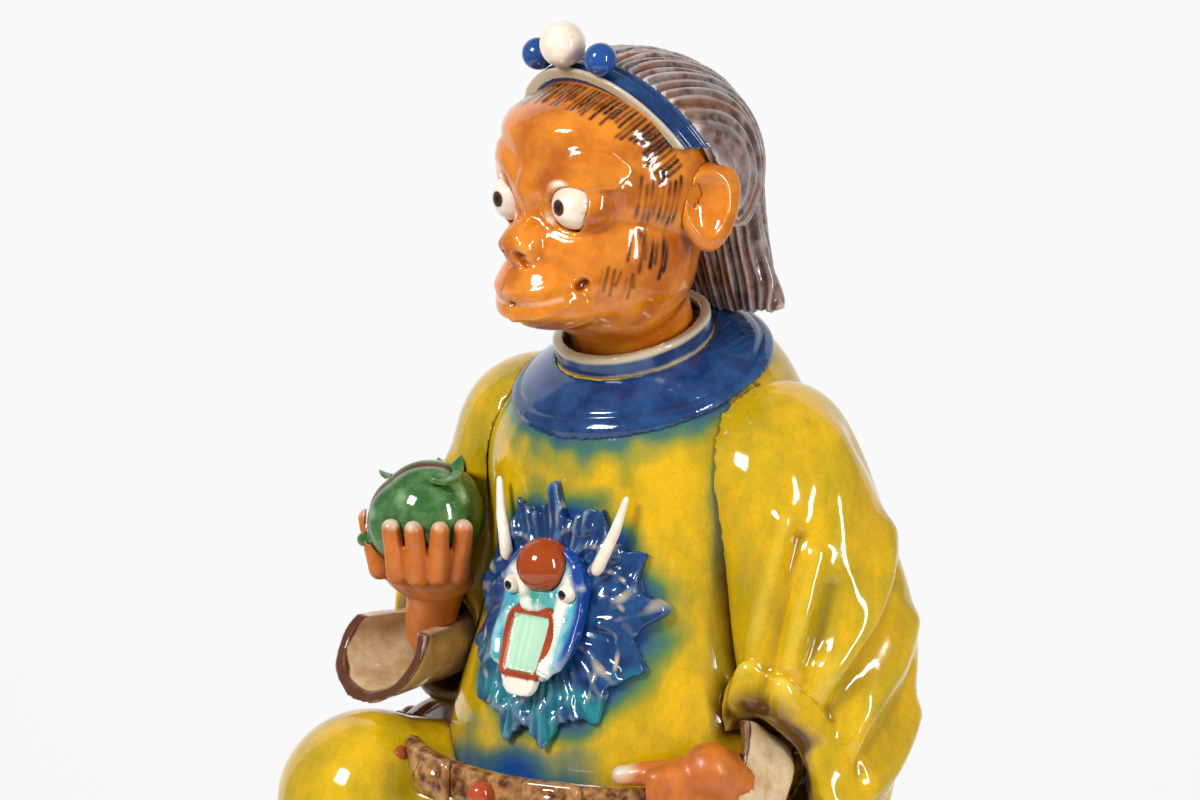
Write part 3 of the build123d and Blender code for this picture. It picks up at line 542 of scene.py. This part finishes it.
apron = clay("robe_apron", 0.8, 3)
pool(apron, 12, 0.8)
apron.data.materials.append(COBALT)
for name in ("right_boot", "left_boot"):
    boot = clay(name, 0.8, 5)
    pool(boot)
    boot.data.materials.append(BLACK)
for name in ("right_boot_sole", "left_boot_sole"):
    sole = clay(name, 0.7, 3)
    pool(sole)
    sole.data.materials.append(SLIP)


# Collar and neck

# A groove runs round the collar inside its edge, and the edge is painted pale as a painted highlight along
# the rim.
collar = clay("shoulder_collar", 0.5, 9)
along, out = from_neck(verts(collar))
edge = 31.0 + 0.5 * ripple(verts(collar), 18, 70)
put(collar, verts(collar) - outward(collar) * (0.55 * np.exp(-((out - edge) / 0.6) ** 2))[:, None])
# Painted highlight: pale on the collar's rim.
brush(collar, "pale", 0.55 * np.clip((out - 33.5) / 0.7, 0, 1))
neck = clay("neck_band", 0.45, 5)
along, out = from_neck(verts(neck))
brush(neck, "pale", 1.2 - np.abs(along - 4.5) / 1.2)
brush(neck, "pale", 0.75 - np.abs(along + 0.5) / 2)
for piece in (collar, neck):
    pool(piece, 8, 0.5)
    piece.data.materials.append(COBALT)


# Head

head = clay("head", 0.55, 14)


def features(drawn):
    """Lines drawn on both sides of the face: lists of (angle, rise) with a radius and a height."""
    for path, radius, height in drawn:
        for side in (1, -1):
            stroke(head, [face(head, side * angle, rise) for angle, rise in path], radius, height)


# The brow is drawn in towards the skull, the forehead swells by up to 4.5 mm and the chin is raised by
# up to 3.5 mm.
x, y, z = to_head(verts(head)).T
round_off = 1 - (x / SKULL_HALF[0]) ** 2 - ((z - SKULL[2]) / SKULL_HALF[2]) ** 2
dome = SKULL[1] - SKULL_HALF[1] * np.sqrt(np.clip(round_off, 0.02, 1))
y = np.where(y < dome, dome + (y - dome) * (1 - 0.75 * np.exp(-((z - 8) / 6.5) ** 2)), y)
turn = np.arctan2(x, SKULL[1] - y)
swell = 4.5 * np.exp(-((z - 18.5) / 6) ** 2) * np.clip(1.5 * np.cos(turn), 0, 1)
z = z + 3.5 * np.clip((-28 - z) / 8, 0, 1) * np.clip((-y - 5) / 12, 0, 1)
put(head, in_head(np.stack((x + swell * np.sin(turn), y - swell * np.cos(turn), z), axis=1)))
blur = np.clip((z - 4) / 3, 0, 1) * np.clip((26 - z) / 4, 0, 1) * np.clip((4 - y) / 6, 0, 1)
put(head, verts(head) + blur[:, None] * (relaxed(head, 50) - verts(head)))

features((
    (((5, 4), (14, 13), (27, 17), (40, 16), (50, 7)), 2.4, 1.0),  # brow
    (((4, 14), (15, 21), (28, 25), (40, 24)), 2.0, -0.25),  # wrinkles of the forehead
    (((2, 28), (17, 34), (36, 33)), 1.8, -0.2),
    (((0, 10), (0, 2), (0, -8)), 2.6, 0.6),  # bridge of the nose
    (((7, -18), (10, -22), (6, -25)), 1.5, 0.7),  # wing of the nose
    (((13, -13), (27, -18), (42, -13)), 1.2, -0.45),  # under the eye
    (((14, -21), (29, -26), (46, -20)), 1.3, -0.25),  # across the cheek
    (((11, -22), (20, -27), (29, -33), (34, -41)), 1.4, -0.5),  # fold from nose to mouth
    (((0, -33), (12, -33.5), (27, -34.5)), 1.3, 0.6),  # lips
    (((0, -41), (12, -41), (26, -39.5)), 1.4, 0.6),
    (((0, -37), (14, -37), (30, -36.5)), 0.7, -0.8),  # between the lips
    (((0, -47), (10, -47), (18, -47)), 1.3, -0.3),  # over the chin
))
# White lids round the eyes, and painted shade: dark spots pressed into the nostrils and the corners of the
# mouth.
for side in (1, -1):
    t = np.linspace(0, 2 * math.pi, 13)
    lid = np.stack((6.6 * np.cos(t), 2.2 * np.cos(t) ** 2, 5.4 * np.sin(t)), axis=1)
    loop = list(in_head(lid + (side * EYE_X, -28.0, EYE_Z)))
    stroke(head, loop, 1.3, 1.0)
    line(head, "white", loop, 1.0)
    for angle, rise, radius, height in ((32, -36.5, 1.2, -2.0), (5, -22, 1.0, -1.3)):
        spot = face(head, side * angle, rise)
        stroke(head, [spot, spot + 0.1], radius, height)
        # Painted shade in the pressed hole.
        line(head, "comb", [spot, spot + 0.1], radius)
line(head, "pale", [face(head, angle, -37) for angle in range(-24, 25, 6)], 0.7, 0.7)

# Comb strokes along the hairline and down in front of the ears.
rng = np.random.default_rng(12)
for angle in np.arange(-78, 79, 2.6):
    turn = math.radians(angle + rng.uniform(-0.8, 0.8))
    arch = np.array((math.sin(turn), -math.cos(turn) * BAND_WAY[2], math.cos(turn) * BAND_WAY[1]))
    top = SKULL + 31 * arch
    length = rng.uniform(6, 10)
    path = [snap(head, in_head(top - BAND_WAY * (3 + share * length))) for share in (0, 0.5, 1)]
    stroke(head, path, 0.6, -0.1)
    line(head, "comb", path, 0.6, rng.uniform(0.7, 1.0))
for side in (1, -1):
    for angle in np.arange(60, 84, 3.2):
        start, end = rng.uniform(8, 16), rng.uniform(-42, -28)
        sweep = ((start, 2), ((start + end) / 2, 0), (end, -5))
        path = [face(head, side * (angle + lean), rise) for rise, lean in sweep]
        stroke(head, path, 0.6, -0.06)
        line(head, "comb", path, 0.62, rng.uniform(0.6, 0.95))
    for angle in np.arange(42, 60, 3.2):
        start = rng.uniform(-36, -30)
        path = [face(head, side * angle, start), face(head, side * (angle - 3), start - rng.uniform(5, 11))]
        line(head, "comb", path, 0.55, rng.uniform(0.35, 0.7))
brush(head, "rust", 0.15 + 0.6 * ripple(verts(head), 16, 71))
pool(head, 12, 0.7)
head.data.materials.append(AMBER)

for name in ("left_ear", "right_ear"):
    ear = clay(name, 0.4, 5)
    x, y, z = to_head(verts(ear)).T
    flare = (y - 5) * 0.028 * (z + 2) + 0.14 * np.maximum(z + 2, 0)
    put(ear, in_head(np.stack((x, y + flare, z), axis=1)))
    pool(ear, 14, 0.6)
    ear.data.materials.append(AMBER)
# The eyes are made a little smaller for the lids, and look ahead.
for side, name in ((1, "left_eye"), (-1, "right_eye")):
    eye = clay(name, 0.35, 3)
    middle = in_head((side * EYE_X, EYE_Y, EYE_Z))
    gaze = in_head((side * 13, -90, -4)) - middle
    put(eye, middle + 0.95 * (verts(eye) - middle))
    rel = verts(eye) - middle
    cosine = rel @ gaze / np.linalg.norm(rel, axis=1) / np.linalg.norm(gaze)
    off = np.degrees(np.arccos(np.clip(cosine, -1, 1)))
    brush(eye, "iris", (22 - off) / 5)
    brush(eye, "pupil", (11 - off) / 4)
    brush(eye, "pool", np.full(len(rel), 0.5))
    eye.data.materials.append(SLIP)

# Fine and coarse combing runs over the hair from front to back.
hair = clay("hair", 0.6, 4)
own = to_head(verts(hair))
across = 2 * math.pi * own[:, 0]
comb = np.sin(across / 2.1 + 2.4 * ripple(own, 18, 8)) + 0.7 * np.sin(across / 5.3 + 2 * ripple(own, 22, 9))
put(hair, verts(hair) + outward(hair) * (0.42 * comb)[:, None])
brush(hair, "rust", 0.15 + 0.8 * ripple(own * (1, 0.25, 0.25), 5, 10))
pool(hair, 8, 0.45)
hair.data.materials.append(HAIR)

# Two grooves run along the headband, and its front edge is pale.
band = clay("headband", 0.4, 6)
shift = (to_head(verts(band)) - (0, 4, 5)) @ BAND_WAY
put(band, verts(band) - outward(band) * (0.5 * np.exp(-((np.abs(shift) - 1.9) / 0.5) ** 2))[:, None])
out = np.linalg.norm((to_head(verts(band)) - SKULL) / SKULL_HALF, axis=1)
brush(band, "pale", (-shift - 2.3) / 0.5 * (out > 1.055))
pool(band, 8, 0.4)
band.data.materials.append(COBALT)
# The two outer beads are blue.
beads = clay("headband_beads", 0.4, 3)
brush(beads, "blue", (np.abs(to_head(verts(beads))[:, 0]) - 5.8) / 0.4)
pool(beads)
beads.data.materials.append(SLIP)


# Hands, cuffs and fruit

# The cuffs are brown at the rim.
cuffs = (("left_cuff", (44, -29, 146), (-8, -12, 6)), ("right_cuff", (-53, -43, 163), (-0.2, -0.85, 0.45)))
for name, rim, way in cuffs:
    cuff = clay(name, 0.45, 4)
    ahead = (verts(cuff) - (np.array(rim) + AXIS)) @ (np.array(way) / np.linalg.norm(way))
    uneven(cuff, 11, 0.5, 80)
    brush(cuff, "brown", (ahead + 1.3 + 0.6 * ripple(verts(cuff), 6, 81)) / 0.6)
    pool(cuff, 8, 0.6)
    cuff.data.materials.append(CREAM)
left_hand = clay("left_hand", 0.4, 40)
right_hand = clay("right_hand", 0.4, 7)
brush(right_hand, "pale", (verts(right_hand)[:, 2] - 196) / 4 + 0.25 * ripple(verts(right_hand), 4, 82))
brush(left_hand, "pale", 1 - np.linalg.norm(verts(left_hand) - snap(left_hand, (33, -34, 148)), axis=1) / 6)
for hand in (left_hand, right_hand):
    uneven(hand, 7, 0.25, 83)
    pool(hand, 10, 0.6)
    hand.data.materials.append(CLAY)
# A seam runs over the fruit from its tip.
fruit = clay("fruit", 0.45, 14)
tip = np.array((-0.763, -0.53, -0.371))
over = np.array((-0.2, -0.35, 0.92))
ways = [math.cos(t) * tip + math.sin(t) * over for t in np.linspace(0.2, 2.4, 9)]
suture = [cast(fruit, FRUIT + 60 * way, FRUIT) for way in ways]
stroke(fruit, suture, 1.8, -1.0)
line(fruit, "brown", suture, 2.0)
brush(fruit, "pale", 0.6 * ripple(verts(fruit), 9, 84))
pool(fruit, 10, 0.5)
fruit.data.materials.append(GREEN)
leaves = clay("fruit_leaves", 0.35, 2)
pool(leaves, 8, 0.4)
leaves.data.materials.append(GREEN)


# Belt

belt = (("belt_front", BROWN), ("belt_back", BROWN), ("belt_plaques", BROWN), ("belt_studs", RED))
for name, material in belt:
    piece = clay(name, 0.5, 3)
    pool(piece, 8, 0.5)
    piece.data.materials.append(material)


# Relief mask

def ahead_of(obj, x, up):
    """A point on the mask, seen from straight ahead."""
    start = np.array((x, -200.0, MASK_Z + up))
    return cast(obj, start, start + (0, 1, 0))


# The mane's locks spread from the middle, with painted highlights: pale on the locks' crests and along the
# curls drawn on them, and pale in random patches.
mane = clay("mask_mane", 0.4, 6)
places = verts(mane)
turn = np.arctan2(places[:, 0], places[:, 2] - MASK_Z)
reach = from_mask(places)
swirl = turn + 0.35 * reach * np.sin(2 * turn)
lock = np.cos(13 * swirl) + 0.5 * np.cos(39 * swirl + 4 * reach)
put(mane, places + outward(mane) * (0.7 * lock * np.clip(reach * 1.6 - 0.4, 0, 1))[:, None])
# Painted highlight: pale on the locks' crests, and pale in random patches.
brush(mane, "pale", (lock - 0.75) * np.clip(reach * 2 - 0.7, 0, 1) + 0.4 * ripple(places, 8, 90))
brush(mane, "green", (MASK_Z - 6 - places[:, 2]) / 34 + 0.7 * ripple(places, 12, 91))
for start in np.arange(0, 360, 22.5):
    curl = []
    for share in np.linspace(0, 1, 5):
        turn = math.radians(start + math.copysign(26, 180 - start) * share ** 2)
        reach = 0.54 + 0.27 * share
        across = MASK_HALF_WIDTH * reach * math.sin(turn)
        curl.append(ahead_of(mane, across, MASK_HALF_HEIGHT * reach * math.cos(turn)))
    stroke(mane, curl, 1.3, 0.7)
    # Painted highlight along the curl.
    line(mane, "pale", curl, 0.6, 0.8)
pool(mane, 8, 0.45)
mane.data.materials.append(COBALT)


def jaw(obj):
    """Narrows the mask's face and mouth downwards, and makes room for a chin."""
    places = verts(obj)
    before, after = (-40, -18.7, -17.3, 2.5, 40), (-40, -18.7, -12.8, 2.5, 40)
    places[:, 2] = MASK_Z + np.interp(places[:, 2] - MASK_Z, before, after)
    places[:, 0] *= 1 + 0.16 * np.clip((places[:, 2] - MASK_Z + 3) / 11, -1, 0)
    put(obj, places)


mask = clay("mask_face", 0.35, 18)
jaw(mask)
for side in (1, -1):
    brow = [ahead_of(mask, side * x, up) for x, up in ((3, 10), (8, 13), (11.5, 9))]
    stroke(mask, brow, 1.5, 1.3)
    line(mask, "pale", brow, 1.8)
    cheek = [ahead_of(mask, side * x, up) for x, up in ((8, 1), (10.5, -4), (9.5, -9))]
    stroke(mask, cheek, 2.2, 1.4)
    line(mask, "pale", cheek, 1.2, 0.7)
nose = [ahead_of(mask, x, 4.5) for x in (-1.5, 1.5)]
stroke(mask, nose, 2.4, 2.2)
line(mask, "green", nose, 2.6)
brush(mask, "pale", (MASK_Z - 9 - verts(mask)[:, 2]) / 4)
rel = np.abs(verts(mask) - (0, 0, MASK_Z)) / (12.5, 1, 18)
rim = (rel[:, 0] ** 3 + rel[:, 2] ** 3) ** (1 / 3)
brush(mask, "blue", (rim - 0.82) / 0.16 * (verts(mask)[:, 2] > MASK_Z - 10))
pool(mask, 8, 0.5)
mask.data.materials.append(TURQUOISE)

# Teeth with shallow grooves between them, over a white chin.
mouth = clay("mask_mouth", 0.35, 6)
places = verts(mouth)
across, up = np.abs(places[:, 0]), np.abs(places[:, 2] - MASK_Z + 7.5)
teeth = (across < 5.4) & (up < 8.3) & (outward(mouth)[:, 1] < -0.3)
put(mouth, places + outward(mouth) * (teeth * 0.1 * np.cos(2 * math.pi * places[:, 0] / 2.2))[:, None])
brush(mouth, "pale", teeth * 1.0)
jaw(mouth)
brush(mouth, "chin", (MASK_Z - 13 - verts(mouth)[:, 2]) / 0.5)
pool(mouth, 6, 0.6)
mouth.data.materials.append(RED)

for name, material in (("mask_pearl", AMBER), ("mask_eyes", SLIP), ("mask_horns", SLIP)):
    piece = clay(name, 0.35, 3)
    if name == "mask_horns":
        # Each horn is thinned round its own length and set back onto the mane.
        places = verts(piece)
        for side in (1, -1):
            one = places[:, 0] * side > 0
            rel = places[one] - places[one].mean(axis=0)
            way = np.linalg.svd(rel[::20], full_matrices=False)[2][0]
            along = (rel @ way)[:, None] * way
            places[one] = places[one].mean(axis=0) + along + 0.62 * (rel - along) + (0, 0.9, 0)
        put(piece, places)
    if name == "mask_eyes":
        brush(piece, "pupil", (-outward(piece)[:, 1] - 0.86) / 0.05)
    if name == "mask_pearl":
        brush(piece, "rust", np.full(len(piece.data.vertices), 0.9))
    pool(piece, 8, 0.5)
    piece.data.materials.append(material)


# Floor, light and camera

def paper(name, glow):
    """White studio paper, lit from behind by the given glow."""
    mat = bpy.data.materials.new(name)
    mat.use_nodes = True
    shader = mat.node_tree.nodes["Principled BSDF"]
    shader.inputs["Base Color"].default_value = linear("#f2f2f2")
    shader.inputs["Roughness"].default_value = 0.9
    shader.inputs["Emission Color"].default_value = linear("#fafafa")
    shader.inputs["Emission Strength"].default_value = glow
    return mat


bpy.ops.mesh.primitive_circle_add(vertices=96, radius=0.38, fill_type="NGON", location=(0, 0, -0.0005))
floor = bpy.context.object
floor.name = "floor"
floor.data.materials.append(paper("table_paper", 0.0))
bpy.ops.mesh.primitive_plane_add(size=7, location=(-1.6, 1.96, 0.05),
                                 rotation=(math.radians(90), 0, math.radians(39)))
backdrop = bpy.context.object
backdrop.name = "backdrop"
backdrop.data.materials.append(paper("lit_backdrop", 0.6))
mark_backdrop(floor, backdrop)

world = bpy.data.worlds.new("white_studio")
bpy.context.scene.world = world
world.use_nodes = True
world.node_tree.nodes["Background"].inputs["Color"].default_value = linear("#f4f4f6")
world.node_tree.nodes["Background"].inputs["Strength"].default_value = 0.34


def aimed(place, target):
    """The turn that points a lamp or the camera from a place at a target."""
    return (Vector(target) - Vector(place)).to_track_quat("-Z", "Y").to_euler()


def softbox(name, place, target, width, height, power):
    """A rectangular studio lamp, in metres and watts."""
    bpy.ops.object.light_add(type="AREA", location=place)
    lamp = bpy.context.object
    lamp.name = name
    lamp.data.shape = "RECTANGLE"
    lamp.data.size, lamp.data.size_y = width, height
    lamp.data.energy = power
    lamp.rotation_euler = aimed(place, target)


softbox("key", (-0.15, -0.85, 0.8), (0, 0, 0.23), 0.28, 0.28, 10)
softbox("side", (1.0, -0.15, 0.45), (0, 0, 0.2), 0.12, 0.6, 6.5)

bpy.ops.object.camera_add(location=(0.5328, -0.6596, 0.379))
camera = bpy.context.object
camera.data.lens = 105
camera.data.sensor_width = 36
camera.rotation_euler = aimed(camera.location, (-0.0097, 0.0101, 0.227))
bpy.context.scene.camera = camera
bpy.context.scene.view_settings.view_transform = "Standard"

low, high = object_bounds()
